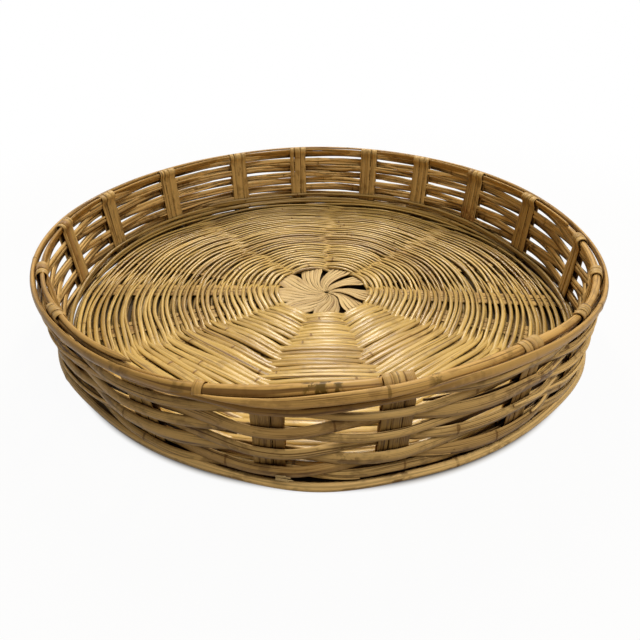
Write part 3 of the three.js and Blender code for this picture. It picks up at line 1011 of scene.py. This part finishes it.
# Inner rim canes: the front one, which starts outside the wall, and slim ones along the back
short_cane_ring = 279.5
short_cane_stains = [(286.5, 1.2, 0.7), (300, 2.0, 0.4)]
slim_canes = [(2, 241.5), (-4, 252), (-7, 214)]
slim_canes_level = 57.9
slim_canes_radius = 172.7
bundle = Bundle()
cane_line = rim_cane(short_cane, 850)
bundle.on_edge(
    *cane_line, oval(16), 0.75, rim_nodes, mark=stained(cane_line[0], short_cane_stains),
    node_at=int(np.argmin(np.abs(cane_line[0] - short_cane_ring))),
)
for m, (begin, end) in enumerate(slim_canes):
    rim_angle = np.linspace(begin, end, 380)
    past = smooth((rim_angle - 214) / 18)
    level = slim_canes_level - 1.5 * m + (0.7 - 1.4 * m) * past
    level += 0.8 * wander(rim_angle, 858 + m, 15) * (1 - past)
    radius = slim_canes_radius + 0.6 * m + 1.7 * past + 0.35 * wander(rim_angle, 856 + m, 13)
    wide = 1.05 + 0.45 * smooth((rim_angle - 178) / 25)
    wide *= 0.35 + 0.65 * smooth((end - rim_angle) / (3 + 12 * m))
    bundle.on_edge(
        rim_angle, radius, level, wide, 0.75 * wide, half_round(), 0.35 + 0.3 * m, rim_nodes, age=0.12,
    )
bundle.piece("inner_rim", rim_material, "rim_cane", ["inner_rim_cane"])

# Outer rim cane: how dark it is at some angles, a painted shadow where it runs low under the short cane in
# front, and the stains near its end
long_cane_age = np.array([
    (236, 1.0), (280, 1.0), (292, 0.2), (560, 0.2), (590, 0.5), (611, 0.5), (616, 0.0),
])
long_cane_stains = [(271, 3.4, 1.0), (250, 1.5, 0.5), (239, 2.5, 0.6)]
stained_from = 590
bundle = Bundle()
cane_line = rim_cane(long_cane, 860)
rim_angle = cane_line[0]
# It is darker at the back, a painted shade where its inner side is seen away from the light
behind = smooth((np.sin(rad(rim_angle)) + 0.15) / 0.4)
shade = np.interp(rim_angle, long_cane_age[:, 0], long_cane_age[:, 1])
bundle.on_edge(
    *cane_line, oval(16), 0.62, rim_nodes,
    mark=np.where(rim_angle > stained_from, stained(rim_angle, long_cane_stains), 0.0),
    age=np.maximum(0.55 * behind, shade),
)

# Its end is split open: a short dark strand along this axis is painted shade inside the hollow
mouth = np.array([0.35, -0.55, 0.76])
mouth_side = [0.8, 0.6, 0.07]
end_at = place(np.array(279.1), 172.9, 58.9)
bundle.strand(
    [end_at - 0.4 * mouth, end_at + 0.3 * mouth], [mouth_side] * 2, 2.1, 1.4, oval(12), 0.0, rim_nodes,
    age=1.0, mark=1.0,
)

# One splint is bound round it where it comes inside
turn = rad(np.linspace(-70, 200, 20))
binding = np.full(len(turn), 253.3)
path = place(binding, 174.9 + 3.6 * np.cos(turn), 53.2 + 3.8 * np.sin(turn))
bundle.strand(path, across_at(binding), 2.2, 0.4, splint(), 0.4, rim_nodes, age=0.2)
bundle.piece("outer_rim", rim_material, "rim_cane", ["outer_rim_cane"])

# Foot cane: slimmer in front, where the wall stands close above it
foot_half_height = 2.55
foot_half_thick = 1.6
foot_level = 2.75
foot_stains = [(258, 2, 0.6), (283, 2, 0.8), (301, 3, 0.6)]
foot_angle = np.arange(0, 360, 0.5)
beside = smooth((np.abs(foot_angle - 275) - 15) / 15)
height = foot_level + 0.5 * beside + 0.15 * wander_round(foot_angle, 870, 16)
radius = foot_radius + 0.2 * wander_round(foot_angle, 871, 18)
bundle = Bundle()
bundle.on_edge(
    foot_angle, radius, height, foot_half_height + 0.5 * beside, foot_half_thick, half_round(), 0.45,
    wall_nodes, closed=True, mark=stained(foot_angle, foot_stains),
)
bundle.piece("foot", wall_material, "wall_cane", ["foot_cane"])

# Studio
scene = bpy.context.scene
full_white = (1, 1, 1, 1)


def seen_itself(n):
    """1 for the rays that see a surface, directly, in gloss or through glass, and 0 for its light."""
    rays = n.new("ShaderNodeLightPath")
    seen = n.math("MAXIMUM", rays.outputs["Is Camera Ray"], rays.outputs["Is Glossy Ray"])
    return n.math("MAXIMUM", seen, rays.outputs["Is Transmission Ray"])


# Floor of the studio: white where it is seen beyond the tray, and dark under it as a painted shadow, with
# distances in metres
tray_middle = (0.004, -0.001, 0)
painted_shadow_under_tray = (0.10, 0.075, 0.05, 1)
beside_tray = (0.6, 0.54, 0.45, 1)
bpy.ops.mesh.primitive_plane_add(size=8)
ground = bpy.context.object
ground.name = "ground"
ground_material = bpy.data.materials.new("ground")
n = Nodes(ground_material)
distance_node = n.new("ShaderNodeVectorMath", operation="DISTANCE")
n.feed(distance_node.inputs[0], n.new("ShaderNodeNewGeometry").outputs["Position"])
n.feed(distance_node.inputs[1], tray_middle)
distance = distance_node.outputs["Value"]
# Under the tray the floor's colour is dark: a painted shadow
plain = n.fed("ShaderNodeBsdfDiffuse", n.mix(n.spread(distance, 0.170, 0.177), painted_shadow_under_tray, beside_tray))
beyond = n.spread(distance, 0.1715, 0.1765, 0.0, 0.96)
beyond = n.math("ADD", beyond, n.spread(distance, 0.24, 0.6, 0.0, 0.04))
white = n.fed("ShaderNodeEmission", full_white, 1.0)
both = n.fed("ShaderNodeMixShader", n.math("MULTIPLY", seen_itself(n), beyond), plain, white)
n.feed(n.new("ShaderNodeOutputMaterial").inputs["Surface"], both)
ground.data.materials.append(ground_material)

# World: soft light all round, and white behind the object
soft_tint = (1.0, 0.93, 0.82, 1)
soft_strength = 0.165
world = bpy.data.worlds.new("studio")
scene.world = world
n = Nodes(world)
soft = n.fed("ShaderNodeBackground", soft_tint, soft_strength)
white = n.fed("ShaderNodeBackground", full_white, 1.0)
both = n.fed("ShaderNodeMixShader", seen_itself(n), soft, white)
n.feed(n.new("ShaderNodeOutputWorld").inputs["Surface"], both)


def area_light(name, at, width, depth, power, tint):
    """A lamp that shines at the middle of the tray."""
    data = bpy.data.lights.new(name, "AREA")
    data.shape = "RECTANGLE"
    data.size = width
    data.size_y = depth
    data.energy = power
    data.color = tint
    lamp = bpy.data.objects.new(name, data)
    lamp.location = at
    lamp.rotation_euler = (-Vector(at)).to_track_quat("-Z", "Y").to_euler()
    scene.collection.objects.link(lamp)


area_light("key", at=(0.04, 0.85, 0.95), width=0.12, depth=0.45, power=12.0, tint=(1.0, 0.94, 0.84))
area_light("top", at=(0.4, -0.45, 1.15), width=0.45, depth=0.45, power=7.4, tint=(1.0, 0.97, 0.92))

# Camera, found from the tray's outline in the photograph, with its measures in pixels
picture_size = 640
focal_length = 550.5
optical_centre = (316.8, 297.3)
camera_elevation = math.radians(30.96)
camera_distance = 0.40686
sensor_width = 36
camera_data = bpy.data.cameras.new("camera")
camera_data.sensor_width = sensor_width
camera_data.lens = focal_length / picture_size * sensor_width
camera_data.shift_x = (picture_size / 2 - optical_centre[0]) / picture_size
camera_data.shift_y = -(picture_size / 2 - optical_centre[1]) / picture_size
camera_data.clip_start = 0.01
camera = bpy.data.objects.new("camera", camera_data)
to_camera = Vector((0, -math.cos(camera_elevation), math.sin(camera_elevation)))
camera.location = to_camera * camera_distance
camera.rotation_mode = "QUATERNION"
camera.rotation_quaternion = (-to_camera).to_track_quat("-Z", "Y")
scene.collection.objects.link(camera)
scene.camera = camera

scene.view_settings.view_transform = "Standard"
